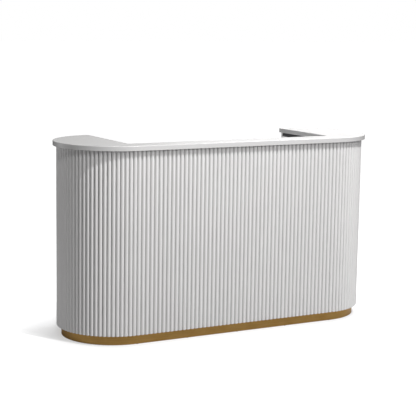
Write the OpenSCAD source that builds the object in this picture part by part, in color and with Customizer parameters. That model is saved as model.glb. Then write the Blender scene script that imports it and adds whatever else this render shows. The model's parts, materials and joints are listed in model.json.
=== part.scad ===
// Checkout counter: round-ended, fluted front, C-shaped countertop, recessed metal kick strip.
// Customers stand at -Y, staff at +Y. Origin: middle of the footprint, on the floor. Millimetres.

/* [Overall size] */
// Width over the countertop
counter_w = 1800; // [1700:20:2000]
// Depth over the countertop
counter_d = 620; // [610:2:640]
// Height of the countertop's upper face
counter_h = 1000; // [970:5:1060]
// Height of the staff worktop's upper face
worktop_h = 750; // [740:2:760]

/* [Countertop] */
// Thickness of the countertop
top_t = 25; // [20:1:30]
// Overhang of the countertop past the flutes
top_overhang = 18; // [14:1:20]
// Depth of the narrow ledge along the front
ledge_d = 130; // [126:1:136]
// Radius of the inner corners of the countertop
inner_corner_r = 15; // [8:1:24]

/* [Flutes] */
// Number of flutes on the straight front
front_flutes = 50; // [46:1:52]
// Number of flutes on each round end
end_flutes = 40; // [36:1:41]
// Height of a flute over the web between flutes
flute_h = 9; // [5:0.5:9]
// Width of a flute at its foot
flute_w = 18; // [16:0.5:20.5]
// How far the seams of the fluted panels lie to the left of the tangents
seam_shift = 7.5; // [0:0.5:8]

/* [Plinth] */
// Height of the plinth
plinth_h = 50; // [40:2:60]
// Distance from the flutes back to the kick strip
plinth_inset = 25; // [20:1:35]

/* [Staff side] */
// Clear width inside each pedestal
pedestal_w = 300; // [290:2:310]
// Travel of a drawer
drawer_travel = 360; // [300:10:370]
// Diameter of the knobs
knob_d = 28; // [22:1:30]

/* [Hidden] */
$fn = 96;

// Colours
c_white = "white";
c_flute = "gainsboro";
c_brass = "#7c5f37";
c_board = "burlywood";
c_grey = "dimgray";
c_steel = "silver";

// Board and sheet thicknesses
board_t = 18;
web_t = 4;
backing_t = 12;
ply_t = 9;
panel_t = 15;
worktop_t = 25;
strip_t = 1;
plinth_ply_t = 12;
glide_h = 2;
glue = 0.3; // hairline between bent sheets that are glued together
cut = 1; // how far a cutting solid runs past a face

// Plan: two round ends joined by a straight front
end_x = (counter_w - counter_d) / 2;
top_r = counter_d / 2;
body_r = top_r - top_overhang;
web_r = body_r - flute_h;
core_r = web_r - web_t;
ply_r = core_r - ply_t;
strip_r = body_r - plinth_inset;
plinth_r = strip_r - strip_t;
ledge_y = ledge_d - top_r;
wing_x = end_x + 5;
panel_x = wing_x + 5;
panel_out = panel_x + board_t;
panel_step = panel_out - end_x;
staff_y = ledge_y - 12;
stud_front = backing_t - core_r;
stud_back = staff_y - panel_t;

// Levels
base_z = plinth_h + board_t;
body_top = counter_h - top_t;
sub_top_z = body_top - board_t;
worktop_z = worktop_h - worktop_t;
niche_floor_z = worktop_h - board_t;

// Fluted sheet
front_pitch = 2 * end_x / front_flutes;
flute_r = (flute_w * flute_w / 4 + flute_h * flute_h) / (2 * flute_h);
wrap_angle = 180 - asin(panel_step / body_r);

// Pedestals: drawers on the left (-X), door on the right (+X)
ped_in = panel_x - pedestal_w;
ped_open = ped_in - board_t;
carcass_back = 250;
front_y = carcass_back + 2;
front_out = front_y + board_t;
worktop_back = front_out + 6;
reveal = 1.5;
gap = 2.5;
front_x0 = ped_open + reveal;
front_x1 = panel_x - gap;
fronts_z0 = plinth_h + 2;
fronts_z1 = worktop_z - 3;
niche_y0 = -150;
niche_y1 = carcass_back;

// Drawers, from the top down: [lower edge of the front, its height, box height]
lower_front_h = 304;
middle_front_h = 200;
middle_front_z = fronts_z0 + lower_front_h + 3;
upper_front_z = middle_front_z + middle_front_h + 3;
DRAWERS = [
    [upper_front_z, fronts_z1 - upper_front_z, fronts_z1 - upper_front_z - 60],
    [middle_front_z, middle_front_h, middle_front_h - 50],
    [fronts_z0, lower_front_h, lower_front_h - 74]
];
box_lift = 24;
box_side_t = 12;
box_bottom_t = 5;
groove_d = 5;
bottom_lift = 10;
joint_gap = 0.1; // hairline where two boards butt

// Ball-bearing slides, nested channels: [distance from the wall, depth, height]
slide_w = 13;
slide_t = 1.2;
SLIDE_OUTER = [0, 10, 45];
SLIDE_MIDDLE = [2.4, 8.6, 38];
SLIDE_INNER = [5.4, 7.6, 30];
slide_len = drawer_travel + 30;
slide_back = front_y - slide_len - 6;
box_back = slide_back - 4;
function slide_z(d) = d[0] + box_lift + min(d[2] / 2, 60);

// Knobs and their screws
knob_reach = 26;
knob_stem_r = 5.5;
knob_drop = 80;
door_knob_inset = 40;
drawer_knob_x = -(front_x0 + front_x1) / 2;
door_knob_x = front_x0 + door_knob_inset;
door_knob_z = fronts_z1 - knob_drop;
function knob_z(d) = d[0] + d[1] - knob_drop;
screw_r = 2;
screw_clear = 0.2;
catch_x = ped_in + 62; // magnet that holds the door shut

// Hinges
hinge_off = 4.2; // from the wing panel, and from the door's face, to the pin
hinge_x = panel_x - hinge_off;
hinge_y = front_out + hinge_off;
hinge_len = 64;
knuckles = 5;
knuckle_h = hinge_len / knuckles;
knuckle_r = 3.6;
pin_r = 1.7;
pin_clear = 0.05;
leaf_t = 1.5;
leaf_w = 24;
knuckle_gap = 0.3;
hinge_fn = 48;
HINGE_Z = [fronts_z0 + 70, fronts_z1 - 70];

// Lock in the upper drawer front
lock_x = -ped_in - 32;
lock_z = fronts_z1 - 27;
lock_r = 8;
plug_r = 5.5;
key_t = 2;
key_h = 8;
cam_reach = 21;
cam_y = front_y - 10;
cam_t = 1.6;
strike_y = cam_y + cam_t + 0.4;

// Grommets in the worktop
GROMMET_X = [-200, 200];
grommet_y = -128;
grommet_hole_r = 30;
liner_r = 27.5;
liner_depth = 22;
lip_t = 2;
cap_seat = 4;
cap_clear = 0.05;

// Adjustable shelf
pin_hole_r = 2.5;
pin_depth = 10;
pin_step = 32;
shelf_z = 380;
PIN_Z = [for (k = [-4:4]) shelf_z + k * pin_step];
PIN_Y = [-140, 200];

// Screws up into the countertop, through the sub-top
top_screw_r = 2.5;
top_screw_bite = 14;
TOP_SCREWS = [for (s = [-1, 1]) each [
    [s * (end_x + 180), -60],
    [s * (end_x + 180), 90],
    [s * (end_x + 70), 180],
    [s * (end_x + 70), -170],
    [s * 435, -core_r + 44],
    [s * 145, -core_r + 44]
]];

// ---------- shared shapes ----------

module box(x, y, z) {
    translate([x[0], y[0], z[0]]) cube([x[1] - x[0], y[1] - y[0], z[1] - z[0]]);
}

module rect(x, y) {
    translate([x[0], y[0]]) square([x[1] - x[0], y[1] - y[0]]);
}

// The plan of the counter at a given end radius.
module capsule(r) {
    square([2 * end_x, 2 * r], center = true);
    for (s = [-1, 1]) translate([s * end_x, 0]) circle(r = r);
}

// A rod along Y from y0 to y1.
module rod_y(x, z, r, y0, y1) {
    translate([x, y0, z]) rotate([-90, 0, 0]) cylinder(r = r, h = y1 - y0);
}

// A rod along X from x0 to x1.
module rod_x(y, z, r, x0, x1) {
    translate([x0, y, z]) rotate([0, 90, 0]) cylinder(r = r, h = x1 - x0);
}

// The right-hand round end, from start past the front tangent to the wing panel, between two radii.
module end_band(r_out, r_in, step = panel_step, start = 0) {
    translate([end_x, 0]) difference() {
        circle(r = r_out);
        circle(r = r_in);
        rect([-r_out - cut, start], [-r_out - cut, cut]);
        rect([-r_out - cut, step], [0, r_out + cut]);
    }
}

// The part of a right-hand half disc that lies beyond the wing panel.
module end_disc(r) {
    translate([end_x, 0]) intersection() {
        circle(r = r);
        rect([panel_step, r + cut], [-r, r]);
    }
}

module on_left() {
    mirror([1, 0, 0]) children();
}

// One flute in plan, crest towards -Y at y = -body_r.
module flute(sink = 0) {
    intersection() {
        translate([0, flute_r - body_r]) circle(r = flute_r);
        rect([-flute_w, flute_w], [-body_r - cut, sink - web_r]);
    }
}

// ---------- outer skin ----------

module countertop() {
    color(c_white) difference() {
        translate([0, 0, body_top]) linear_extrude(top_t) difference() {
            capsule(top_r);
            rect([-wing_x, wing_x], [ledge_y + inner_corner_r, top_r + cut]);
            rect([inner_corner_r - wing_x, wing_x - inner_corner_r], [ledge_y, top_r]);
            for (s = [-1, 1])
                translate([s * (wing_x - inner_corner_r), ledge_y + inner_corner_r])
                    circle(r = inner_corner_r);
        }
        top_screw_holes(top_screw_r, body_top - cut, body_top + top_screw_bite + 2);
    }
}

module front_fluted_panel() {
    x0 = -end_x - seam_shift;
    color(c_flute) translate([x0, 0, plinth_h]) linear_extrude(body_top - plinth_h) {
        rect([0, 2 * end_x], [-web_r, -core_r - glue]);
        for (k = [0:front_flutes - 1]) translate([(k + 0.5) * front_pitch, 0]) flute();
    }
}

// The right-hand round end's sheet; it starts that far past the tangent.
module fluted_wrap(start) {
    start_angle = asin(start / web_r);
    pitch = (wrap_angle - start_angle) / end_flutes;
    color(c_flute) translate([0, 0, plinth_h]) linear_extrude(body_top - plinth_h) {
        end_band(web_r, core_r + glue, start = start);
        for (k = [0:end_flutes - 1])
            translate([end_x, 0]) rotate(start_angle + (k + 0.5) * pitch) flute(0.4);
    }
}

module kick_strip() {
    color(c_brass) translate([0, 0, glide_h]) linear_extrude(plinth_h - glide_h) {
        rect([-end_x, end_x], [-strip_r, -plinth_r]);
        for (s = [0, 1]) mirror([s, 0]) end_band(strip_r, plinth_r, panel_x - end_x);
    }
}

// ---------- frame behind the skin ----------

module sub_top() {
    color(c_grey) difference() {
        translate([0, 0, sub_top_z]) linear_extrude(board_t) difference() {
            capsule(core_r);
            rect([-panel_x, panel_x], [staff_y, top_r]);
        }
        top_screw_holes(top_screw_r + screw_clear, sub_top_z - cut, body_top + cut);
    }
}

module base_board() {
    color(c_white) translate([0, 0, plinth_h]) linear_extrude(board_t) difference() {
        capsule(core_r);
        rect([-ped_open, ped_open], [staff_y, top_r]);
        rect([-panel_x, panel_x], [carcass_back, top_r]);
    }
}

module front_backing_board() {
    color(c_board) box([-end_x, end_x], [-core_r, stud_front], [base_z, sub_top_z]);
}

module curved_board() {
    color(c_grey) translate([0, 0, base_z]) linear_extrude(sub_top_z - base_z)
        end_band(core_r, ply_r);
}

module wall_studs() {
    color(c_board) for (k = [-2:2])
        translate([k * (end_x - board_t / 2) / 2, 0, 0])
            box([-board_t / 2, board_t / 2], [stud_front, stud_back], [base_z, sub_top_z]);
}

module staff_side_panel() {
    color(c_white) box([-panel_x, panel_x], [stud_back, staff_y], [base_z, sub_top_z]);
}

// Upright between the round end and the staff side; its notch is the niche's mouth.
module wing_panel() {
    color(c_white) difference() {
        union() {
            box([panel_x, panel_out], [stud_front, core_r], [base_z, sub_top_z]);
            box([panel_x, panel_out], [core_r, body_r], [plinth_h, body_top]);
        }
        box([panel_x - cut, panel_out + cut], [niche_y0, niche_y1], [worktop_h, sub_top_z + cut]);
    }
}

module right_wing_panel() {
    color(c_white) difference() {
        wing_panel();
        pin_holes(panel_x, 1);
    }
}

module niche_shelves() {
    color(c_grey) for (s = [0, 1]) mirror([s, 0, 0])
        translate([0, 0, niche_floor_z]) linear_extrude(board_t) end_disc(ply_r - 0.5);
}

// ---------- plinth ----------

module plinth_front_board() {
    color(c_board) box([-end_x, end_x], [-plinth_r, plinth_ply_t - plinth_r], [glide_h, plinth_h]);
}

module plinth_end_board() {
    color(c_board) translate([0, 0, glide_h]) linear_extrude(plinth_h - glide_h)
        end_band(plinth_r - glue, plinth_r - plinth_ply_t, panel_x - end_x);
}

// Boards that close the plinth around the kneehole and under the fronts.
module plinth_returns() {
    toe_y = carcass_back - 2 * board_t;
    z = [glide_h, plinth_h];
    color(c_white) {
        box([-ped_open, ped_open], [staff_y - board_t, staff_y], z);
        for (s = [0, 1]) mirror([s, 0, 0]) {
            x1 = ped_open + joint_gap;
            box([x1, x1 + board_t], [staff_y - board_t, toe_y - joint_gap], z);
            box([x1, panel_out], [toe_y, toe_y + board_t], z);
            y1 = toe_y + board_t + joint_gap;
            box([panel_x, panel_out], [y1, plinth_r - plinth_ply_t - 2], z);
        }
    }
}

// Nylon pads under the plinth boards.
module glides() {
    y_front = plinth_ply_t / 2 - plinth_r;
    y_toe = carcass_back - 1.5 * board_t;
    x_end = end_x + plinth_r - plinth_ply_t / 2 - glue;
    CENTRE = [[0, y_front], [0, staff_y - board_t / 2]];
    PAIRS = [
        [end_x / 2, y_front],
        [end_x - 10, y_front],
        [x_end, 0],
        [panel_x - 20, y_toe],
        [ped_open + 40, y_toe]
    ];
    color(c_grey) {
        for (p = CENTRE) glide(p);
        for (p = PAIRS) for (s = [-1, 1]) glide([s * p[0], p[1]]);
    }
}

module glide(p) {
    translate([p[0], p[1], 0]) cylinder(r = 5.5, h = glide_h);
}

// ---------- staff side ----------

module worktop() {
    color(c_white) difference() {
        box([-panel_x, panel_x], [staff_y, worktop_back], [worktop_z, worktop_h]);
        for (x = GROMMET_X) translate([x, grommet_y, worktop_z - cut])
            cylinder(r = grommet_hole_r, h = worktop_t + 2 * cut);
    }
}

module partition() {
    box([ped_open, ped_in], [staff_y, carcass_back], [base_z, worktop_z]);
}

module left_partition() {
    color(c_white) on_left() partition();
}

module right_partition() {
    color(c_white) difference() {
        partition();
        pin_holes(ped_in, -1);
    }
}

// Rows of blind shelf-pin holes in a side at x, drilled towards side.
module pin_holes(x, side) {
    x_near = x - side * cut;
    x_far = x + side * pin_depth;
    for (y = PIN_Y) for (z = PIN_Z)
        rod_x(y, z, pin_hole_r, min(x_near, x_far), max(x_near, x_far));
}

module shelf_pins() {
    grip = pin_depth - 1;
    color(c_steel) for (y = PIN_Y) for (x = [ped_in, panel_x])
        rod_x(y, shelf_z, pin_hole_r - 0.05, x - grip, x + grip);
}

module cabinet_shelf() {
    z = shelf_z + pin_hole_r;
    color(c_grey) box([ped_in + 1, panel_x - 1], [staff_y + 4, carcass_back - 15], [z, z + board_t]);
}

// Angle brackets that hold the worktop to the staff side panel.
module worktop_brackets() {
    color(c_steel) for (x = [40, ped_open - 60]) for (s = [0, 1])
        mirror([s, 0, 0]) angle_bracket([x, x + 20], staff_y, 30, 1);
}

// Angle that the lock's cam turns up behind.
module lock_strike() {
    color(c_steel) angle_bracket([lock_x - 12, lock_x + 12], strike_y + 2, 13, -1);
}

// An angle under the worktop: one leg hangs down at y, the other runs towards dir.
module angle_bracket(x, y, drop, dir) {
    thick = 2;
    foot = 28;
    y_leg = y + dir * thick;
    y_foot = y_leg + dir * foot;
    box(x, [min(y, y_leg), max(y, y_leg)], [worktop_z - drop, worktop_z]);
    box(x, [min(y_leg, y_foot), max(y_leg, y_foot)], [worktop_z - thick, worktop_z]);
}

module top_screw_holes(r, z0, z1) {
    for (p = TOP_SCREWS) translate([p[0], p[1], z0]) cylinder(r = r, h = z1 - z0, $fn = 32);
}

module countertop_screws() {
    head_h = 3;
    color(c_steel) for (p = TOP_SCREWS) translate([p[0], p[1], sub_top_z]) {
        translate([0, 0, -head_h]) cylinder(r1 = 4, r2 = 5.5, h = head_h, $fn = 32);
        cylinder(r = top_screw_r - 0.02, h = board_t + top_screw_bite, $fn = 32);
    }
}

// ---------- grommets ----------

module grommet_liners() {
    through = liner_depth + lip_t + 2 * cut;
    color(c_grey) for (x = GROMMET_X) translate([x, grommet_y, worktop_h]) difference() {
        union() {
            cylinder(r = grommet_hole_r + 5, h = lip_t);
            translate([0, 0, -liner_depth]) cylinder(r = grommet_hole_r - 0.2, h = liner_depth);
        }
        translate([0, 0, -liner_depth - cut]) cylinder(r = liner_r - 3, h = through);
        translate([0, 0, -cap_seat]) cylinder(r = liner_r, h = cap_seat + lip_t + cut);
    }
}

module grommet_cap(x) {
    cap_t = cap_seat + lip_t - 0.4;
    slot_r = 7;
    slot_y = 9;
    color(c_grey) translate([x, grommet_y, worktop_h - cap_seat + 0.1]) difference() {
        cylinder(r = liner_r - cap_clear, h = cap_t);
        // cable slot
        translate([-slot_r, slot_y, -cut]) cube([2 * slot_r, liner_r, cap_t + 2 * cut]);
        translate([0, slot_y, -cut]) cylinder(r = slot_r, h = cap_t + 2 * cut);
    }
}

// ---------- drawers ----------

// A slide channel along Y, hollow towards side (+1 away from the wall, -1 towards it).
module channel(wall_x, dir, spec, zc, y0, len, web_far = false) {
    u0 = wall_x + dir * spec[0];
    u1 = wall_x + dir * (spec[0] + spec[1]);
    lo = min(u0, u1);
    hi = max(u0, u1);
    web_at_hi = (dir > 0) == web_far;
    z0 = zc - spec[2] / 2;
    z1 = zc + spec[2] / 2;
    y = [y0, y0 + len];
    box(web_at_hi ? [hi - slide_t, hi] : [lo, lo + slide_t], y, [z0, z1]);
    box([lo, hi], y, [z0, z0 + slide_t]);
    box([lo, hi], y, [z1 - slide_t, z1]);
}

module slides(d, spec, web_far = false, len = slide_len) {
    color(c_steel) {
        channel(-panel_x, 1, spec, slide_z(d), slide_back, len, web_far);
        channel(-ped_in, -1, spec, slide_z(d), slide_back, len, web_far);
    }
}

module drawer_slide_outers() {
    for (d = DRAWERS) slides(d, SLIDE_OUTER);
}

module drawer_front(d, has_lock) {
    color(c_white) difference() {
        box([-front_x1, -front_x0], [front_y, front_out], [d[0], d[0] + d[1]]);
        rod_y(drawer_knob_x, knob_z(d), screw_r + screw_clear, front_y - cut, front_out + cut);
        if (has_lock) rod_y(lock_x, lock_z, lock_r + 0.1, front_y - cut, front_out + cut);
    }
}

// Two sides, a back and an inner front, grooved for the bottom.
module drawer_box(d) {
    x = [-panel_x + slide_w, -ped_in - slide_w];
    z = [d[0] + box_lift, d[0] + box_lift + d[2]];
    inner_x = [x[0] + box_side_t + joint_gap, x[1] - box_side_t - joint_gap];
    color(c_grey) difference() {
        union() {
            for (x0 = [x[0], x[1] - box_side_t]) box([x0, x0 + box_side_t], [box_back, front_y], z);
            box(inner_x, [box_back, box_back + box_side_t], z);
            box(inner_x, [front_y - box_side_t, front_y], z);
        }
        translate([0, 0, z[0] + bottom_lift]) linear_extrude(box_bottom_t) rect(
            [x[0] + box_side_t - groove_d, x[1] - box_side_t + groove_d],
            [box_back + box_side_t - groove_d, front_y - box_side_t + groove_d]
        );
        rod_y(drawer_knob_x, knob_z(d), screw_r + screw_clear, front_y - box_side_t - cut, front_y + cut);
    }
}

module drawer_bottom(d) {
    edge = slide_w + box_side_t - groove_d + joint_gap;
    y_in = box_side_t - groove_d + joint_gap;
    z0 = d[0] + box_lift + bottom_lift;
    x = [edge - panel_x, -ped_in - edge];
    color(c_grey) box(x, [box_back + y_in, front_y - y_in], [z0, z0 + box_bottom_t]);
}

// Turned knob at x, z, with a screw through a board that ends at y_back.
module knob(x, z, y_back) {
    head_t = 11;
    bevel = 1.5;
    bite = 11;
    color(c_brass) {
        translate([x, front_out, z]) rotate([-90, 0, 0]) difference() {
            union() {
                cylinder(r = knob_d / 2 - 4, h = 2.5);
                cylinder(r = knob_stem_r, h = knob_reach - head_t);
                translate([0, 0, knob_reach - head_t]) cylinder(r = knob_d / 2, h = head_t - bevel);
                translate([0, 0, knob_reach - bevel])
                    cylinder(r1 = knob_d / 2, r2 = knob_d / 2 - bevel, h = bevel);
            }
            translate([0, 0, -cut]) cylinder(r = screw_r + 0.02, h = bite + 2 * cut);
        }
        rod_y(x, z, screw_r, y_back, front_out + bite);
        rod_y(x, z, 2 * screw_r, y_back - 2.4, y_back);
    }
}

module drawer_knob(d) {
    knob(drawer_knob_x, knob_z(d), front_y - box_side_t);
}

// ---------- lock ----------

module lock_housing() {
    color(c_steel) difference() {
        union() {
            rod_y(lock_x, lock_z, lock_r, front_y - 4, front_out);
            rod_y(lock_x, lock_z, lock_r + 2.5, front_out, front_out + 1.5);
        }
        rod_y(lock_x, lock_z, plug_r + 0.05, front_y - 4 - cut, front_out + 1.5 + cut);
    }
}

// The turning plug, with the cam that catches behind the strike.
module lock_plug() {
    slot = key_t / 2 + 0.1;
    cam_w = 4;
    color(c_steel) difference() {
        union() {
            rod_y(lock_x, lock_z, plug_r, front_y - 7, front_out + 2);
            rod_y(lock_x, lock_z, 3.5, cam_y, front_y - 6);
            box(
                [lock_x - cam_reach, lock_x + cam_w],
                [cam_y, cam_y + cam_t],
                [lock_z - cam_w, lock_z + cam_w]
            );
        }
        box(
            [lock_x - slot, lock_x + slot],
            [front_y, front_out + 2 + cut],
            [lock_z - key_h / 2 - 0.1, lock_z + key_h / 2 + 0.1]
        );
    }
}

module lock_key() {
    bow_r = 9;
    bow_y = front_out + 15;
    color(c_steel) translate([lock_x - key_t / 2, 0, 0]) {
        box([0, key_t], [front_y + 0.5, bow_y - bow_r + 1], [lock_z - key_h / 2, lock_z + key_h / 2]);
        translate([0, bow_y, lock_z]) rotate([0, 90, 0]) difference() {
            cylinder(r = bow_r, h = key_t);
            translate([0, bow_r / 2, -cut]) cylinder(r = 2, h = key_t + 2 * cut);
        }
    }
}

// ---------- door ----------

module cabinet_door() {
    color(c_white) difference() {
        box([front_x0, front_x1], [front_y, front_out], [fronts_z0, fronts_z1]);
        rod_y(door_knob_x, door_knob_z, screw_r + screw_clear, front_y - cut, front_out + cut);
    }
}

// A tube about the pin axis, along the k-th knuckle of the hinge at height z.
module knuckle(z, k) {
    translate([hinge_x, hinge_y, z - hinge_len / 2 + k * knuckle_h + knuckle_gap / 2])
        cylinder(r = knuckle_r, h = knuckle_h - knuckle_gap, $fn = hinge_fn);
}

// Notch in a leaf for the other leaf's k-th knuckle.
module knuckle_notch(z, k) {
    side = 2 * (knuckle_r + 0.9);
    translate([hinge_x, hinge_y, z - hinge_len / 2 + (k + 0.5) * knuckle_h])
        cube([side, side, knuckle_h + knuckle_gap], center = true);
}

// A hinge leaf: its plate, its own knuckles and notches for the others, bored for the pin.
module leaf(z, own, others, x, y) {
    difference() {
        union() {
            for (k = own) knuckle(z, k);
            difference() {
                box(x, y, [z - hinge_len / 2, z + hinge_len / 2]);
                for (k = others) knuckle_notch(z, k);
            }
        }
        translate([hinge_x, hinge_y, z - hinge_len])
            cylinder(r = pin_r + pin_clear, h = 2 * hinge_len, $fn = hinge_fn);
    }
}

module hinge_cabinet_leaves() {
    color(c_brass) for (z = HINGE_Z)
        leaf(z, [0, 2, 4], [1, 3], [panel_x - leaf_t, panel_x], [hinge_y, body_r - 2]);
}

module hinge_door_leaves() {
    color(c_brass) for (z = HINGE_Z)
        leaf(z, [1, 3], [0, 2, 4], [hinge_x - leaf_w, hinge_x], [front_out, front_out + leaf_t]);
}

module hinge_pins() {
    over = 0.5;
    head_h = 2;
    color(c_brass) for (z = HINGE_Z) translate([hinge_x, hinge_y, z]) {
        cylinder(r = pin_r, h = hinge_len + 2 * over, center = true, $fn = hinge_fn);
        for (s = [-1, 1]) translate([0, 0, s * (hinge_len / 2 + over + head_h / 2)])
            cylinder(r = knuckle_r - 0.6, h = head_h, center = true, $fn = hinge_fn);
    }
}

module magnet_catch() {
    color(c_grey) box([catch_x - 22, catch_x + 22], [front_y - 18, front_y - 3], [worktop_z - 14, worktop_z]);
}

module door_strike_plate() {
    z = fronts_z1 - 9;
    color(c_steel) box([catch_x - 16, catch_x + 16], [front_y - 2, front_y], [z - 6, z + 6]);
}

// ---------- assembly ----------

countertop();
sub_top();
base_board();
front_fluted_panel();
on_left() fluted_wrap(seam_shift);  // left_fluted_wrap
fluted_wrap(-seam_shift);  // right_fluted_wrap
front_backing_board();
on_left() curved_board();  // left_curved_board
curved_board();  // right_curved_board
staff_side_panel();
wall_studs();
on_left() wing_panel();  // left_wing_panel
right_wing_panel();
niche_shelves();
worktop();
left_partition();
right_partition();
plinth_front_board();
on_left() plinth_end_board();  // plinth_left_board
plinth_end_board();  // plinth_right_board
plinth_returns();
kick_strip();
glides();
cabinet_shelf();
shelf_pins();
grommet_liners();
grommet_cap(GROMMET_X[0]);  // grommet_cap_left
grommet_cap(GROMMET_X[1]);  // grommet_cap_right
drawer_slide_outers();
countertop_screws();
worktop_brackets();
magnet_catch();
lock_strike();
hinge_cabinet_leaves();
hinge_pins();
hinge_door_leaves();
cabinet_door();
knob(door_knob_x, door_knob_z, front_y);  // door_knob
door_strike_plate();
lock_housing();
lock_plug();
lock_key();
for (k = [0:2]) {
    name = str("drawer_", k + 1, "_"); // numbered from the top
    drawer_front(DRAWERS[k], k == 0);
    drawer_box(DRAWERS[k]);
    drawer_bottom(DRAWERS[k]);
    drawer_knob(DRAWERS[k]);
    slides(DRAWERS[k], SLIDE_MIDDLE);
    slides(DRAWERS[k], SLIDE_INNER, true);
}
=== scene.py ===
import json
import math

import bmesh
import bpy
from mathutils import Matrix, Vector, geometry


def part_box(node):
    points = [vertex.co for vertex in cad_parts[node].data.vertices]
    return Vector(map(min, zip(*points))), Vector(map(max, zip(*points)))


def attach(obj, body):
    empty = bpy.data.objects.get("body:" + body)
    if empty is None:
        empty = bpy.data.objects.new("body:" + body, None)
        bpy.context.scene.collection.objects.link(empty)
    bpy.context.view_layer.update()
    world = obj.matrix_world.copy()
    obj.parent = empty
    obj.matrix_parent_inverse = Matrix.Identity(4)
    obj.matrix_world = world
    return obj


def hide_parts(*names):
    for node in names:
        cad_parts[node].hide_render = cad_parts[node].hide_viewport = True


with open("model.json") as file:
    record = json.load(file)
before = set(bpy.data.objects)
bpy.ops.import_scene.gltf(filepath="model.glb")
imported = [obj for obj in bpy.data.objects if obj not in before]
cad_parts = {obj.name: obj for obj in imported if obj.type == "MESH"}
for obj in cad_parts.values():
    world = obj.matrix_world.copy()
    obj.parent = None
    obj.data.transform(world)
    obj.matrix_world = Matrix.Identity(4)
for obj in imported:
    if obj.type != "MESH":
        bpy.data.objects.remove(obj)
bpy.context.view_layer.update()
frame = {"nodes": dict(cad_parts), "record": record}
MM = 0.001

# ---------- sizes, from the frame ----------

slab_low, slab_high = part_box("countertop")
top_r = slab_high.y
end_x = slab_high.x - top_r
front_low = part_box("front_fluted_panel")[0]
body_r = -front_low.y
wing_x0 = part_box("right_wing_panel")[0].x
wing_x1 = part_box("right_wing_panel")[1].x
staff_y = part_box("staff_side_panel")[1].y
front_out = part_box("cabinet_door")[1].y

# How far the countertop runs past the wing panel's inner face and the staff-side panel.
WING_LIP = 5 * MM
LEDGE_LIP = 12 * MM
notch_x = wing_x0 - WING_LIP
ledge_y = staff_y + LEDGE_LIP

FRONT_FLUTES = 50
END_FLUTES = 40
FLUTE_H = 9 * MM
FLUTE_W = 18 * MM
SEAM_SHIFT = -end_x - front_low.x


# ---------- camera ----------

def make_camera():
    """The photograph's viewpoint: customer side, from the left, a little above the countertop."""
    place = Vector((-3.3299, -5.8504, 1.6395))
    yaw, pitch, roll = 0.513814, 0.14722, 0.015632
    ahead = Vector((math.sin(yaw) * math.cos(pitch), math.cos(yaw) * math.cos(pitch), -math.sin(pitch)))
    right = Vector((math.cos(yaw), -math.sin(yaw), 0))
    up = right.cross(ahead)
    tilted_right = right * math.cos(roll) + up * math.sin(roll)
    tilted_up = up * math.cos(roll) - right * math.sin(roll)
    data = bpy.data.cameras.new("camera")
    data.sensor_width = 36
    data.lens = 110.44
    data.shift_x = -0.0041
    data.shift_y = -0.0115
    camera = bpy.data.objects.new("camera", data)
    bpy.context.scene.collection.objects.link(camera)
    turn = Matrix((tilted_right, tilted_up, -ahead)).transposed().to_4x4()
    camera.matrix_world = Matrix.Translation(place) @ turn
    bpy.context.scene.camera = camera


make_camera()


# ---------- material helpers ----------

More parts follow.
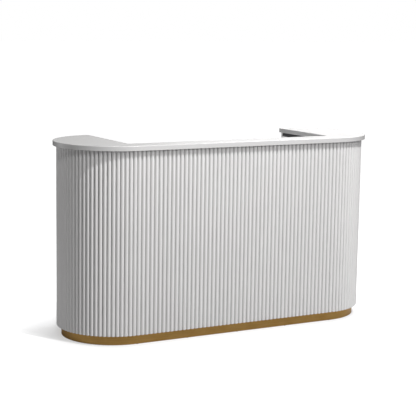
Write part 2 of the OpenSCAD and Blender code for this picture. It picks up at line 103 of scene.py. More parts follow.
class Shader:
    """A Principled material and the few nodes that the materials here are made of."""

    def __init__(self, name, roughness, metallic=0.0, **sockets):
        self.material = bpy.data.materials.new(name)
        self.material.use_nodes = True
        self.tree = self.material.node_tree
        self.principled = self.tree.nodes["Principled BSDF"]
        self.principled.inputs["Roughness"].default_value = roughness
        self.principled.inputs["Metallic"].default_value = metallic
        for socket, value in sockets.items():
            self.principled.inputs[socket.replace("_", " ")].default_value = value
        self.coords = self.tree.nodes.new("ShaderNodeTexCoord").outputs["Object"]

    def node(self, kind, **values):
        made = self.tree.nodes.new(kind)
        for key, value in values.items():
            if hasattr(made, key):
                setattr(made, key, value)
            else:
                made.inputs[key.replace("_", " ")].default_value = value
        return made

    def link(self, source, target):
        self.tree.links.new(source, target)

    def stretched(self, scale):
        """Object coordinates scaled unevenly, for grain and brushing."""
        mapping = self.node("ShaderNodeMapping", Scale=scale)
        self.link(self.coords, mapping.inputs["Vector"])
        return mapping.outputs["Vector"]

    def noise(self, scale, detail=3.0, vector=None):
        made = self.node("ShaderNodeTexNoise", Scale=scale, Detail=detail)
        self.link(vector or self.coords, made.inputs["Vector"])
        return made.outputs["Fac"]

    def ramp(self, fac, *stops):
        made = self.node("ShaderNodeValToRGB")
        elements = made.color_ramp.elements
        while len(elements) < len(stops):
            elements.new(0.5)
        for element, (position, color) in zip(elements, stops):
            element.position = position
            element.color = (*color, 1)
        self.link(fac, made.inputs["Fac"])
        return made.outputs["Color"]

    def level(self, fac, low, high):
        made = self.node("ShaderNodeMapRange", To_Min=low, To_Max=high)
        self.link(fac, made.inputs["Value"])
        return made.outputs["Result"]

    def multiply(self, a, b):
        made = self.node("ShaderNodeMix", data_type="RGBA", blend_type="MULTIPLY")
        made.inputs[0].default_value = 1
        self.link(a, made.inputs[6])
        self.link(b, made.inputs[7])
        return made.outputs[2]

    def math(self, operation, a, b=None):
        """A Math node of two values, each of which is a socket or a number."""
        made = self.node("ShaderNodeMath", operation=operation)
        for socket, value in zip(made.inputs, (a, b)):
            if isinstance(value, bpy.types.NodeSocket):
                self.link(value, socket)
            elif value is not None:
                socket.default_value = value
        return made.outputs["Value"]

    def plan_distance(self):
        """Distance in plan from the line between the centres of the counter's round ends."""
        place = self.node("ShaderNodeSeparateXYZ")
        self.link(self.coords, place.inputs[0])
        sideways = self.math("ABSOLUTE", place.outputs["X"])
        across = self.math("MAXIMUM", self.math("SUBTRACT", sideways, end_x), 0)
        squares = self.math("ADD", self.math("POWER", across, 2), self.math("POWER", place.outputs["Y"], 2))
        return self.math("SQRT", squares)

    def color(self, source):
        self.link(source, self.principled.inputs["Base Color"])

    def roughness(self, source):
        self.link(source, self.principled.inputs["Roughness"])

    def bump(self, height, strength, distance, under=None):
        made = self.node("ShaderNodeBump", Strength=strength, Distance=distance)
        self.link(height, made.inputs["Height"])
        if under:
            self.link(under, made.inputs["Normal"])
        self.link(made.outputs["Normal"], self.principled.inputs["Normal"])
        return made.outputs["Normal"]


def shade(color, factor):
    return tuple(channel * factor for channel in color)


# ---------- materials ----------

# How far up a flute, of its height, the painted shade in the grooves reaches.
GROOVE_SHADE_REACH = 0.3


def lacquer(name, tint, rough, groove_shade=1.0):
    """Sprayed satin lacquer: faint clouding, orange peel, dust nibs, and painted shade that darkens the
    grooves between flutes.
    """
    s = Shader(name, rough, Coat_Weight=0.08, Coat_Roughness=0.25)
    paint = s.ramp(s.noise(3, 4), (0.35, shade(tint, 0.975)), (0.65, tint))
    # Painted shade: the colour darkens towards the web between flutes, where shade falls.
    if groove_shade < 1:
        rise = s.node("ShaderNodeMapRange", From_Min=body_r - FLUTE_H, From_Max=body_r)
        s.link(s.plan_distance(), rise.inputs["Value"])
        groove_shade_tone = s.ramp(rise.outputs["Result"], (0, (groove_shade,) * 3), (GROOVE_SHADE_REACH, (1, 1, 1)))
        paint = s.multiply(paint, groove_shade_tone)
    s.color(paint)
    s.roughness(s.level(s.noise(38, 5), rough - 0.04, rough + 0.06))
    peel = s.bump(s.noise(650, 2), 0.12, 0.0004)
    s.bump(s.noise(2600, 1), 0.05, 0.0001, peel)
    return s.material


def melamine(name, tint, rough, pores=0.25):
    """Pressed decor board: pearl texture with a faint fleck."""
    s = Shader(name, rough)
    fleck = s.ramp(s.noise(420, 6), (0.42, shade(tint, 0.955)), (0.6, tint))
    cloud = s.ramp(s.noise(5, 3), (0.3, (0.965,) * 3), (0.7, (1, 1, 1)))
    s.color(s.multiply(fleck, cloud))
    s.roughness(s.level(s.noise(160, 4), rough - 0.05, rough + 0.08))
    s.bump(s.noise(1500, 3), pores, 0.0003)
    return s.material


def brushed_brass():
    """Aged brass sheet, brushed along the counter."""
    s = Shader("brushed_brass", 0.42, 1.0)
    lines = s.noise(1, 6, s.stretched((9, 9, 1500)))
    tone = s.ramp(lines, (0.3, (0.45, 0.265, 0.08)), (0.7, (0.62, 0.38, 0.13)))
    stain = s.ramp(s.noise(14, 6), (0.32, (0.92, 0.9, 0.86)), (0.62, (1, 1, 1)))
    s.color(s.multiply(tone, stain))
    s.roughness(s.level(lines, 0.34, 0.52))
    s.bump(lines, 0.3, 0.0003)
    return s.material


def satin_metal(name, dark, light, rough, grain):
    """Turned or plated metal with fine tool marks."""
    s = Shader(name, rough, 1.0)
    marks = s.noise(1, 5, s.stretched(grain))
    s.color(s.ramp(marks, (0.3, dark), (0.7, light)))
    s.roughness(s.level(s.noise(90, 5), rough - 0.06, rough + 0.1))
    s.bump(marks, 0.15, 0.0002)
    return s.material


def turned_brass():
    """Satin brass with rings round each piece's own Y axis, as a lathe leaves them."""
    s = Shader("turned_brass", 0.24, 1.0)
    flat = s.stretched((1, 0, 1))
    radius = s.node("ShaderNodeVectorMath", operation="LENGTH")
    s.link(flat, radius.inputs[0])
    rings = s.node("ShaderNodeTexNoise", noise_dimensions="1D", Scale=2600, Detail=3)
    s.link(radius.outputs["Value"], rings.inputs["W"])
    rings = rings.outputs["Fac"]
    wear = s.ramp(s.noise(110, 5), (0.3, (0.86, 0.83, 0.78)), (0.6, (1, 1, 1)))
    s.color(s.multiply(s.ramp(rings, (0.3, (0.42, 0.275, 0.105)), (0.7, (0.55, 0.375, 0.16))), wear))
    s.roughness(s.level(rings, 0.19, 0.33))
    s.bump(rings, 0.15, 0.0002)
    return s.material


def moulded_plastic(name, tint, rough):
    s = Shader(name, rough)
    s.color(s.ramp(s.noise(60, 4), (0.3, shade(tint, 0.8)), (0.7, shade(tint, 1.15))))
    s.roughness(s.level(s.noise(300, 3), rough - 0.06, rough + 0.08))
    s.bump(s.noise(2400, 2), 0.35, 0.0003)
    return s.material


def plywood():
    """Birch plywood: long grain on the faces, thin plies on the edges."""
    s = Shader("plywood", 0.62)
    grain = s.noise(1, 8, s.stretched((9, 130, 130)))
    plies = s.noise(1, 1, s.stretched((2, 2, 640)))
    wood = s.ramp(grain, (0.3, (0.40, 0.26, 0.13)), (0.55, (0.62, 0.45, 0.26)), (0.75, (0.70, 0.54, 0.34)))
    layer = s.ramp(plies, (0.42, (0.78, 0.72, 0.66)), (0.58, (1, 1, 1)))
    s.color(s.multiply(wood, layer))
    s.roughness(s.level(grain, 0.55, 0.75))
    s.bump(grain, 0.3, 0.0004)
    return s.material


white_top = lacquer("satin_white_top", (0.575, 0.57, 0.566), 0.32)
# The flutes' grooves get painted shade, darkened to 0.65 of the white.
white_flutes = lacquer("satin_white_flutes", (0.71, 0.702, 0.698), 0.38, groove_shade=0.65)
white_board = melamine("white_board", (0.74, 0.735, 0.73), 0.42)
worktop_board = melamine("pale_grey_laminate", (0.55, 0.555, 0.565), 0.36)
grey_board = melamine("grey_board", (0.24, 0.24, 0.25), 0.48)
# Near-black board: painted shade, its darkness standing in for the deep shade inside the wing under the
# countertop.
dark_board = melamine("near_black_shade_board", (0.035, 0.035, 0.038), 0.5)
raw_board = plywood()
kick_brass = brushed_brass()
knob_brass = turned_brass()
hinge_brass = satin_metal("drawn_brass", (0.40, 0.26, 0.10), (0.54, 0.37, 0.155), 0.28, (700, 700, 30))
plated_steel = satin_metal("zinc_steel", (0.42, 0.43, 0.45), (0.58, 0.59, 0.61), 0.34, (60, 700, 60))
nickel = satin_metal("nickel", (0.52, 0.51, 0.49), (0.66, 0.65, 0.63), 0.18, (50, 900, 50))
dark_plastic = moulded_plastic("charcoal_plastic", (0.035, 0.035, 0.038), 0.5)
nylon = moulded_plastic("nylon", (0.10, 0.10, 0.10), 0.55)

MATERIAL_OF_SLOT = {
    "white_top": white_top,
    "fluted_white": white_flutes,
    "white_board": white_board,
    "worktop": worktop_board,
    "grey_board": grey_board,
    "dark_board": dark_board,
    "raw_board": raw_board,
    "brushed_brass": kick_brass,
    "polished_brass": hinge_brass,
    "plated_steel": plated_steel,
    "chrome_lock": nickel,
    "dark_plastic": dark_plastic,
    "nylon": nylon,
}
slot_of_node = {part["node"]: part["material_slot"] for part in frame["record"]["subparts"]}


# ---------- mesh helpers ----------

def smooth(obj, sharp_above=35):
    """Smooth shading with crisp edges, weighted so that flat faces stay flat."""
    obj.data.polygons.foreach_set("use_smooth", [True] * len(obj.data.polygons))
    obj.data.set_sharp_from_angle(angle=math.radians(sharp_above))
    weighted = obj.modifiers.new("weighted_normals", "WEIGHTED_NORMAL")
    weighted.keep_sharp = True


def ease(obj, width):
    """Rounds the sharp edges with a bevel and keeps the flat faces flat."""
    bevel = obj.modifiers.new("eased_edges", "BEVEL")
    bevel.width = width
    bevel.segments = 2
    bevel.limit_method = "ANGLE"
    bevel.angle_limit = math.radians(40)
    weighted = obj.modifiers.new("weighted_normals", "WEIGHTED_NORMAL")
    weighted.keep_sharp = True


def piece(name, points, faces, body, node=None, material=None, sharp_above=35, at=(0, 0, 0)):
    """A new closed mesh that rides on a body and, where a node is named, stands for it."""
    mesh = bpy.data.meshes.new(name)
    mesh.from_pydata([tuple(p) for p in points], [], faces)
    shell = bmesh.new()
    shell.from_mesh(mesh)
    bmesh.ops.recalc_face_normals(shell, faces=shell.faces)
    shell.to_mesh(mesh)
    shell.free()
    obj = bpy.data.objects.new(name, mesh)
    obj.location = at
    bpy.context.scene.collection.objects.link(obj)
    mesh.materials.append(material or MATERIAL_OF_SLOT[slot_of_node[node]])
    smooth(obj, sharp_above)
    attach(obj, body)
    if node:
        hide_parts(node)
    return obj


def joined(*solids):
    """Several (points, faces) solids as one."""
    points, faces = [], []
    for solid_points, solid_faces in solids:
        base = len(points)
        points += [Vector(p) for p in solid_points]
        faces += [tuple(k + base for k in face) for face in solid_faces]
    return points, faces


def placed(solid, at, across, up):
    """A solid turned so that its X runs along across and its Z along up, with its origin moved to at."""
    across, up = Vector(across), Vector(up)
    side = up.cross(across)
    points, faces = solid
    return [Vector(at) + across * p[0] + side * p[1] + up * p[2] for p in points], faces


def circle(radius, centre=(0, 0), steps=40):
    return arc(centre, radius, 0, 360 - 360 / steps, steps - 1)


def arc(centre, radius, start, stop, steps):
    """Points along an arc, angles in degrees, both ends included."""
    return [
        Vector((
            centre[0] + radius * math.cos(math.radians(start + (stop - start) * k / steps)),
            centre[1] + radius * math.sin(math.radians(start + (stop - start) * k / steps)),
        ))
        for k in range(steps + 1)
    ]


def skin_between(rings):
    """Quads between rings of the same number of points, which are stored one after another."""
    count = len(rings[0])
    faces = []
    for level in range(len(rings) - 1):
        for k in range(count):
            a, b = level * count + k, level * count + (k + 1) % count
            faces.append((a, b, b + count, a + count))
    return faces


def turned(profile, steps=48):
    """A solid turned about Z from (z, radius) pairs; both ends are closed by flat faces."""
    rings = [[(p.x, p.y, z) for p in circle(radius, steps=steps)] for z, radius in profile]
    points = [p for ring in rings for p in ring]
    faces = skin_between(rings)
    faces.append(tuple(range(steps)))
    faces.append(tuple(range(len(points) - steps, len(points))))
    return points, faces


def filled(loops):
    """Triangles that fill the first loop except for the others, as indices into all loops' points."""
    points, edges = [], []
    for loop in loops:
        base = len(points)
        edges += [(base + k, base + (k + 1) % len(loop)) for k in range(len(loop))]
        points += [Vector(p[:2]) for p in loop]
    _, _, faces, origins, _, _ = geometry.delaunay_2d_cdt(points, edges, [], 4, 1e-9)
    return [tuple(origins[k][0] for k in face) for face in faces]


def plate(loops, low, high):
    """A flat plate with holes: loops in X and Y, extruded from low to high along Z."""
    flat = [p for loop in loops for p in loop]
    count = len(flat)
    points = [(p[0], p[1], low) for p in flat] + [(p[0], p[1], high) for p in flat]
    cap = filled(loops)
    faces = list(cap) + [tuple(k + count for k in face) for face in cap]
    base = 0
    for loop in loops:
        for k in range(len(loop)):
            a, b = base + k, base + (k + 1) % len(loop)
            faces.append((a, b, b + count, a + count))
        base += len(loop)
    return points, faces


def cross_outline(reach, half):
    """A plus sign, anticlockwise."""
    corner = [(half, half), (half, reach), (-half, reach), (-half, half)]
    loop = []
    for turn in range(4):
        c, s = round(math.cos(turn * math.pi / 2)), round(math.sin(turn * math.pi / 2))
        loop += [Vector((x * c - y * s, x * s + y * c)) for x, y in corner[:3]]
    return loop


# A screw head's rim as fractions of its height and radius. Its cross recess: reach and half width as
# fractions of the head's radius, and the size and level of its floor.
SCREW_RIM = ((0, 0.96), (0.35, 1), (0.7, 0.93), (1, 0.74))
CROSS_REACH = 0.55
CROSS_HALF = 0.13
CROSS_FLOOR_SIZE = 0.72
CROSS_FLOOR_LEVEL = 0.25


def screw_head(radius, height):
    """A low screw head on Z = 0 with a softened rim and a tapered cross recess."""
    rim = [(height * level, radius * reach) for level, reach in SCREW_RIM]
    steps = 32
    points = [(p.x, p.y, z) for z, r in rim for p in circle(r, steps=steps)]
    faces = skin_between([circle(r, steps=steps) for _, r in rim])
    faces.append(tuple(range(steps)))
    slot = cross_outline(radius * CROSS_REACH, radius * CROSS_HALF)
    top = len(points) - steps
    cap = filled([circle(rim[-1][1], steps=steps), slot])
    wall = len(points)
    points += [(p.x, p.y, height) for p in slot]
    floor = len(points)
    inner = [p * CROSS_FLOOR_SIZE for p in slot]
    points += [(p.x, p.y, height * CROSS_FLOOR_LEVEL) for p in inner]
    count = len(slot)
    faces += [tuple(top + k if k < steps else wall + k - steps for k in face) for face in cap]
    faces += [(wall + k, wall + (k + 1) % count, floor + (k + 1) % count, floor + k) for k in range(count)]
    faces.append(tuple(range(floor, floor + count)))
    return points, faces


# ---------- countertop ----------

TIP_R = 4 * MM
INNER_CORNER_R = 15 * MM
UPPER_ARRIS = 3 * MM
LOWER_ARRIS = 2 * MM
ARRIS_STEPS = 5


def slab_outline(inset):
    """The C-shaped outline, moved into the board by inset, anticlockwise from the front right."""
    tip_x = notch_x + TIP_R
    tip_y = math.sqrt((top_r - TIP_R) ** 2 - (tip_x - end_x) ** 2)
    tip_angle = math.degrees(math.atan2(tip_y, tip_x - end_x))
    corner = (notch_x - INNER_CORNER_R, ledge_y + INNER_CORNER_R)
    right = arc((end_x, 0), top_r - inset, -90, tip_angle, 72)
    right += arc((tip_x, tip_y), TIP_R - inset, tip_angle, 180, 8)
    right += arc(corner, INNER_CORNER_R + inset, 0, -90, 10)
    left = [Vector((-p.x, p.y)) for p in reversed(right)]
    return right + left


def quarter_round(radius):
    """Distances from a board's face and its edge, along a rounded arris between the two."""
    angles = [math.radians(90 * k / ARRIS_STEPS) for k in range(ARRIS_STEPS + 1)]
    return [(radius * (1 - math.sin(a)), radius * (1 - math.cos(a))) for a in angles]


def make_countertop():
    """The slab with a rounded arris above and a smaller one below."""
    levels = [(slab_low.z + rise, inset) for rise, inset in quarter_round(LOWER_ARRIS)]
    levels += [(slab_high.z - drop, inset) for drop, inset in quarter_round(UPPER_ARRIS)]
    rings = [[(p.x, p.y, z) for p in slab_outline(inset)] for z, inset in sorted(levels)]
    count = len(rings[0])
    faces = skin_between(rings)
    points = [p for ring in rings for p in ring]
    faces.append(tuple(reversed(range(count))))
    faces.append(tuple(range(len(points) - count, len(points))))
    return piece("countertop_slab", points, faces, "root", "countertop")


# ---------- fluted skins ----------

SHEET_T = 3.7 * MM
LOWER_LIP = 1.6 * MM
LIP_STEPS = 4
FLUTE_STEPS = 16


def flute_section(offset):
    """One flute's arc about its middle line, as (across, out) pairs, shrunk by offset."""
    radius = (FLUTE_W ** 2 / 4 + FLUTE_H ** 2) / (2 * FLUTE_H)
    reach = math.degrees(math.asin(FLUTE_W / 2 / radius))
    turns = [math.radians(-reach + 2 * reach * k / FLUTE_STEPS) for k in range(FLUTE_STEPS + 1)]
    inner = radius - offset
    return [(inner * math.sin(a), FLUTE_H - radius + inner * math.cos(a)) for a in turns]


def front_line(offset):
    """Plan of the straight fluted sheet's outer face, left to right."""
    pitch = 2 * end_x / FRONT_FLUTES
    web_y = -(body_r - FLUTE_H)
    x0 = -end_x - SEAM_SHIFT
    line = [Vector((x0, web_y + offset))]
    for k in range(FRONT_FLUTES):
        x = x0 + (k + 0.5) * pitch
        line += [Vector((x + across, web_y - out)) for across, out in flute_section(offset)]
    line.append(Vector((x0 + 2 * end_x, web_y + offset)))
    return line


def end_line(offset, start):
    """Plan of the right-hand fluted wrap's outer face, from start past the tangent to the wing panel."""
    web_r = body_r - FLUTE_H
    step = wing_x1 - end_x
    first = math.asin(start / web_r)
    last = math.pi - math.asin(step / body_r)
    pitch = (last - first) / END_FLUTES
    inner_r = web_r - offset
    line = [Vector((end_x + start, -math.sqrt(inner_r ** 2 - start ** 2)))]
    for k in range(END_FLUTES):
        a = first + (k + 0.5) * pitch
        for across, out in flute_section(offset):
            r = web_r + out
            line.append(Vector((
                end_x + r * math.sin(a) + across * math.cos(a),
                -r * math.cos(a) + across * math.sin(a),
            )))
    line.append(Vector((wing_x1, math.sqrt(inner_r ** 2 - step ** 2))))
    return line


def fluted_sheet(name, node, line, back_of, mirrored=False):
    """A fluted sheet whose lower end is eased, so that each flute ends in a small rounded lip."""
    low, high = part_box(node)[0].z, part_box(node)[1].z
    turns = [math.radians(90 * k / LIP_STEPS) for k in range(LIP_STEPS + 1)]
    levels = [(low + LOWER_LIP * (1 - math.cos(a)), LOWER_LIP * (1 - math.sin(a))) for a in turns]
    levels.append((high, 0.0))
    rings = [[(p.x, p.y, z) for p in line(offset)] for z, offset in levels]
    count = len(rings[0])
    back = [back_of(Vector(p[:2])) for p in rings[-1]]
    rings = [[(p.x, p.y, low) for p in back]] + rings + [[(p.x, p.y, high) for p in back]]
    rings.append(rings[0])
    points = [p for ring in rings[:-1] for p in ring]
    faces = []
    tall = len(rings) - 1
    for level in range(tall):
        for k in range(count - 1):
            a, b = level * count + k, level * count + k + 1
            c, d = ((level + 1) % tall) * count + k + 1, ((level + 1) % tall) * count + k
            faces.append((a, b, c, d))
    faces.append(tuple(level * count for level in reversed(range(tall))))
    faces.append(tuple(level * count + count - 1 for level in range(tall)))
    if mirrored:
        points = [(-x, y, z) for x, y, z in points]
        faces = [tuple(reversed(face)) for face in faces]
    return piece(name, points, faces, "root", node, sharp_above=40)


def make_flutes():
    """The straight front sheet and the wraps round both ends."""
    back_y = -(body_r - FLUTE_H) + SHEET_T
    back_r = body_r - FLUTE_H - SHEET_T
    step = wing_x1 - end_x

    def flat_back(p):
        return Vector((p.x, back_y))

    def round_back(p):
        out = Vector((p.x - end_x, p.y)).normalized() * back_r
        if p.y > 0 and out.x < step:
            out = Vector((step, math.sqrt(back_r ** 2 - step ** 2)))
        return Vector((end_x + out.x, out.y))

    fluted_sheet("fluted_front", "front_fluted_panel", front_line, flat_back)
    fluted_sheet("fluted_right_end", "right_fluted_wrap", lambda o: end_line(o, -SEAM_SHIFT), round_back)
    fluted_sheet("fluted_left_end", "left_fluted_wrap", lambda o: end_line(o, SEAM_SHIFT), round_back, True)


# ---------- knobs, key and screws ----------

# Profile of a knob from the board outwards: distance from the board and radius, in millimetres.
KNOB_MM = [
    (0, 9.3), (0.7, 10), (1.9, 10), (2.5, 9.3), (3.1, 7.4), (4.6, 6.1), (7.0, 5.5), (10.6, 5.6),
    (13.3, 6.8), (14.8, 9.4), (15.2, 12.4), (15.9, 13.6), (17.1, 14), (24.1, 14), (25.3, 13.5),
    (26, 12.3), (26, 10.3), (25.5, 9.8), (25.4, 9.3), (25.6, 8.8), (26, 0.4),
]
KNOB_HEAD_R = 14 * MM
KNOB_SCREW_R = 4 * MM
KNOB_SCREW_HEAD = 2.4 * MM
KNOB_SHANK_R = 2 * MM
STAFFWARD = (0, 1, 0)
CUSTOMERWARD = (0, -1, 0)
ALONG = (1, 0, 0)


def make_knob(node, body):
    """A turned knob and its screw, whose head is inside the drawer or behind the door."""
    low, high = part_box(node)
    head_r = (high.x - low.x) / 2
    x, z = low.x + head_r, low.z + head_r
    profile = [(y * MM, r * MM * head_r / KNOB_HEAD_R) for y, r in KNOB_MM]
    points, faces = placed(turned(profile), (0, 0, 0), ALONG, STAFFWARD)
    piece(node + "_turned", points, faces, body, node, knob_brass, 50, (x, front_out, z))
    head_y = low.y + KNOB_SCREW_HEAD
    shank = turned([(0, KNOB_SHANK_R), (front_out - head_y, KNOB_SHANK_R)], steps=24)
    screw = joined(
        placed(screw_head(KNOB_SCREW_R, KNOB_SCREW_HEAD), (0, 0, 0), ALONG, CUSTOMERWARD),
        placed(shank, (0, 0, 0), ALONG, STAFFWARD),
    )
    piece(node + "_screw", *screw, body, material=plated_steel, at=(x, head_y, z))


# The key: half heights of its tip, blade and shoulders, then its cuts, whose depths are in millimetres.
KEY_TIP = 1.2 * MM
KEY_BLADE = 4 * MM
KEY_SHOULDER = 5.2 * MM
KEY_SHOULDER_LEN = 2 * MM
KEY_STANDOFF = 2.3 * MM
KEY_CUTS_MM = (1.6, 2.4, 1.0, 2.0)
KEY_FIRST_CUT = 5 * MM
KEY_CUT_PITCH = 3.2 * MM
KEY_CUT_HALF = 1.2 * MM
KEY_CUT_FLOOR_HALF = 0.4 * MM
KEY_RING_R = 2 * MM
KEY_RIM_INSETS = (0.6 * MM, 1.9 * MM)
KEY_DISH = 0.35 * MM


def make_key():
    """A stamped key: notched blade, shoulders and a round bow with a hole for a ring."""
    low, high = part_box("lock_key")
    x, z = (low.x + high.x) / 2, (low.z + high.z) / 2
    bow_r = (high.z - low.z) / 2
    bow_y = high.y - bow_r
    tip, stop = low.y, front_out + KEY_STANDOFF
    shoulder_end = stop + KEY_SHOULDER_LEN
    under = [(tip, -KEY_TIP), (tip + 2.5 * MM, -KEY_BLADE)]
    for k, depth in enumerate(KEY_CUTS_MM):
        y = tip + KEY_FIRST_CUT + KEY_CUT_PITCH * k
        cut_z = depth * MM - KEY_BLADE
        under += [(y - KEY_CUT_HALF, -KEY_BLADE), (y - KEY_CUT_FLOOR_HALF, cut_z)]
        under += [(y + KEY_CUT_FLOOR_HALF, cut_z), (y + KEY_CUT_HALF, -KEY_BLADE)]
    under += [(stop, -KEY_BLADE), (stop, -KEY_SHOULDER), (shoulder_end, -KEY_SHOULDER)]
    bow = [(p.x, p.y) for p in arc((bow_y, 0), bow_r, -140, 140, 40)]
    over = [(shoulder_end, KEY_SHOULDER), (stop, KEY_SHOULDER), (stop, KEY_BLADE)]
    over += [(tip + 1.5 * MM, KEY_BLADE), (tip, KEY_TIP)]
    hole = circle(KEY_RING_R, (bow_y + bow_r / 2, 0), steps=28)
    outline = [Vector(p) for p in under + bow + over]
    sheet = plate([outline, hole], low.x - x + KEY_DISH, high.x - x - KEY_DISH)
    rim = [circle(bow_r - inset, (bow_y, 0)) for inset in KEY_RIM_INSETS]
    solid = placed(joined(sheet, plate(rim, low.x - x, high.x - x)), (0, 0, 0), STAFFWARD, ALONG)
    obj = piece("stamped_key", *solid, "lock_plug", "lock_key", at=(x, 0, z), sharp_above=30)
    ease(obj, 0.15 * MM)


def make_screws(name, body, places, across, up, radius, height, material):
    """A row of screw heads that stand on a face whose outward direction is up."""
    heads = [placed(screw_head(radius, height), at, across, up) for at in places]
    piece(name, *joined(*heads), body, material=material)


# Hinges and brackets: a screw is its head's radius and height, and an inset is from an edge to its screws.
HINGE_LEN = 64 * MM
HINGE_SCREW_STEP = 22 * MM
LEAF_T = 1.5 * MM
DOOR_LEAF_INSET = 8 * MM
CABINET_LEAF_INSET = 5.5 * MM
HINGE_SCREW = (3 * MM, 0.7 * MM)
BRACKET_T = 2 * MM
BRACKET_INSET = 10 * MM
BRACKET_SCREW = (3.6 * MM, 1.6 * MM)
BRACKET_SCREW_X = 50 * MM
WORKTOP_SCREW_OUT = 16 * MM


def make_hinge_screws():
    """Three screws in each leaf of both hinges."""
    leaf_low, leaf_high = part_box("hinge_door_leaves")
    middles = (leaf_low.z + HINGE_LEN / 2, leaf_high.z - HINGE_LEN / 2)
    rows = [z + step * HINGE_SCREW_STEP for z in middles for step in (-1, 0, 1)]
    on_door = [(leaf_low.x + DOOR_LEAF_INSET, front_out + LEAF_T, z) for z in rows]
    make_screws("door_hinge_screws", "door", on_door, ALONG, STAFFWARD, *HINGE_SCREW, hinge_brass)
    leaf_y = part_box("hinge_cabinet_leaves")[1].y - CABINET_LEAF_INSET
    on_panel = [(wing_x0 - LEAF_T, leaf_y, z) for z in rows]
    make_screws("cabinet_hinge_screws", "root", on_panel, STAFFWARD, (-1, 0, 0), *HINGE_SCREW, hinge_brass)


def make_bracket_screws():
    """Two screws in each bracket's upright leg and two up into the worktop."""
    low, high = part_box("worktop_brackets")
    places = [side * x for side in (-1, 1) for x in (BRACKET_SCREW_X, high.x - BRACKET_INSET)]
    in_panel = [(x, staff_y + BRACKET_T, low.z + BRACKET_INSET) for x in places]
    make_screws("bracket_screws", "root", in_panel, ALONG, STAFFWARD, *BRACKET_SCREW, plated_steel)
    in_worktop = [(x, staff_y + BRACKET_T + WORKTOP_SCREW_OUT, high.z - BRACKET_T) for x in places]
    make_screws("worktop_screws", "root", in_worktop, ALONG, (0, 0, -1), *BRACKET_SCREW, plated_steel)


# ---------- nodes that keep their shape ----------

# Width of the eased edges in millimetres, where it isn't the usual one.
EASED_MM = {
    "worktop": 1.5, "cabinet_door": 1.0,
    "drawer_1_front": 1.0, "drawer_2_front": 1.0, "drawer_3_front": 1.0,
    "kick_strip": 0.2, "grommet_liners": 0.7, "hinge_cabinet_leaves": 0.25, "hinge_door_leaves": 0.25,
    "hinge_pins": 0.5, "glides": 0.4, "shelf_pins": 0.4, "magnet_catch": 1.0, "grommet_cap_left": 0.6,
    "grommet_cap_right": 0.6, "drawer_slide_outers": 0.2, "lock_strike": 0.3, "worktop_brackets": 0.3,
    "door_strike_plate": 0.4,
}
USUAL_EASED_MM = 0.6
SLIDE_EASED_MM = 0.2


def dress_node(name):
    """Gives a CAD node its material and eases its sharp edges with modifiers, leaving its mesh alone."""
    obj = frame["nodes"][name]
    obj.data.materials.clear()
    obj.data.materials.append(MATERIAL_OF_SLOT[slot_of_node[name]])
    usual = SLIDE_EASED_MM if "slide" in name else USUAL_EASED_MM
    width = EASED_MM.get(name, usual) * MM
    weld = obj.modifiers.new("weld", "WELD")
    weld.merge_threshold = 1e-6
    flat = obj.modifiers.new("flat_faces", "DECIMATE")
    flat.decimate_type = "DISSOLVE"
    flat.angle_limit = math.radians(0.5)
    ease(obj, width)


def dress_all_nodes():
    for name, obj in frame["nodes"].items():
        if not obj.hide_render:
            dress_node(name)


# ---------- floor and light ----------

# The floor's half width, and how far from the counter's foot its glow comes up to full; nearer in, the glow
# is dimmed as a painted shade round the counter.
FLOOR_HALF = 60
SHADE_RING_REACH = 0.35


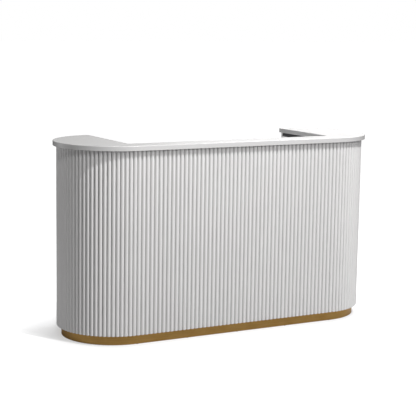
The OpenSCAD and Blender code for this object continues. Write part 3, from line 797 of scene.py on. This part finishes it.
def make_floor():
    """A pale floor that the camera sees as white, apart from the counter's soft shadow, which is partly
    cast and partly painted shade where the camera-only glow is dimmed near the counter's foot.
    """
    signs = ((-1, -1), (1, -1), (1, 1), (-1, 1))
    corners = [(x * FLOOR_HALF, y * FLOOR_HALF, 0) for x, y in signs]
    mesh = bpy.data.meshes.new("floor")
    mesh.from_pydata(corners, [], [(0, 1, 2, 3)])
    floor = bpy.data.objects.new("floor", mesh)
    bpy.context.scene.collection.objects.link(floor)
    s = Shader("pale_floor", 0.9)
    s.principled.inputs["Base Color"].default_value = (0.4, 0.4, 0.405, 1)
    s.principled.inputs["Emission Color"].default_value = (1, 1, 1, 1)
    far = body_r + SHADE_RING_REACH
    # Painted shade: the camera-only glow is half strength at the counter's foot and full further out,
    # darkening the floor round the counter.
    glow = s.node("ShaderNodeMapRange", From_Min=body_r, From_Max=far, To_Min=0.5, To_Max=1.0)
    s.link(s.plan_distance(), glow.inputs["Value"])
    path = s.node("ShaderNodeLightPath")
    seen = s.math("MULTIPLY", glow.outputs["Result"], path.outputs["Is Camera Ray"])
    s.link(seen, s.principled.inputs["Emission Strength"])
    mesh.materials.append(s.material)


def soft_light(name, at, size, power):
    """A round lamp aimed at the middle of the counter."""
    data = bpy.data.lights.new(name, "AREA")
    data.shape = "DISK"
    data.size = size
    data.energy = power
    light = bpy.data.objects.new(name, data)
    bpy.context.scene.collection.objects.link(light)
    light.location = at
    light.rotation_mode = "QUATERNION"
    light.rotation_quaternion = (Vector((0, 0, 0.6)) - Vector(at)).to_track_quat("-Z", "Y")


def make_light():
    soft_light("key", (1.0, -3.53, 6.45), 0.25, 430)
    soft_light("left_key", (-2.22, -3.84, 5.89), 0.25, 75)
    soft_light("front", (-0.1, -2.2, 1.8), 0.3, 18.5)
    soft_light("left_rear", (-3, 2.6, 1.4), 1.6, 22)
    soft_light("left", (-4, 0, 1.2), 1.6, 5.5)
    soft_light("right_rear", (1.4, 2, 2.6), 1.2, 19)
    soft_light("right_top", (1.6, 0.5, 2.4), 1.0, 44)
    world = bpy.data.worlds.new("studio")
    bpy.context.scene.world = world
    world.use_nodes = True
    nodes, links = world.node_tree.nodes, world.node_tree.links
    nodes.clear()
    seen = nodes.new("ShaderNodeBackground")
    seen.inputs["Color"].default_value = (1, 1, 1, 1)
    seen.inputs["Strength"].default_value = 1.0
    fill = nodes.new("ShaderNodeBackground")
    fill.inputs["Color"].default_value = (1, 0.99, 0.98, 1)
    fill.inputs["Strength"].default_value = 0.06
    path = nodes.new("ShaderNodeLightPath")
    either = nodes.new("ShaderNodeMixShader")
    out = nodes.new("ShaderNodeOutputWorld")
    links.new(path.outputs["Is Camera Ray"], either.inputs["Fac"])
    links.new(fill.outputs["Background"], either.inputs[1])
    links.new(seen.outputs["Background"], either.inputs[2])
    links.new(either.outputs["Shader"], out.inputs["Surface"])
    bpy.context.scene.view_settings.view_transform = "Standard"


make_countertop()
make_flutes()
for number in (1, 2, 3):
    make_knob(f"drawer_{number}_knob", f"drawer_{number}")
make_knob("door_knob", "door")
make_key()
make_hinge_screws()
make_bracket_screws()
dress_all_nodes()
make_floor()
make_light()
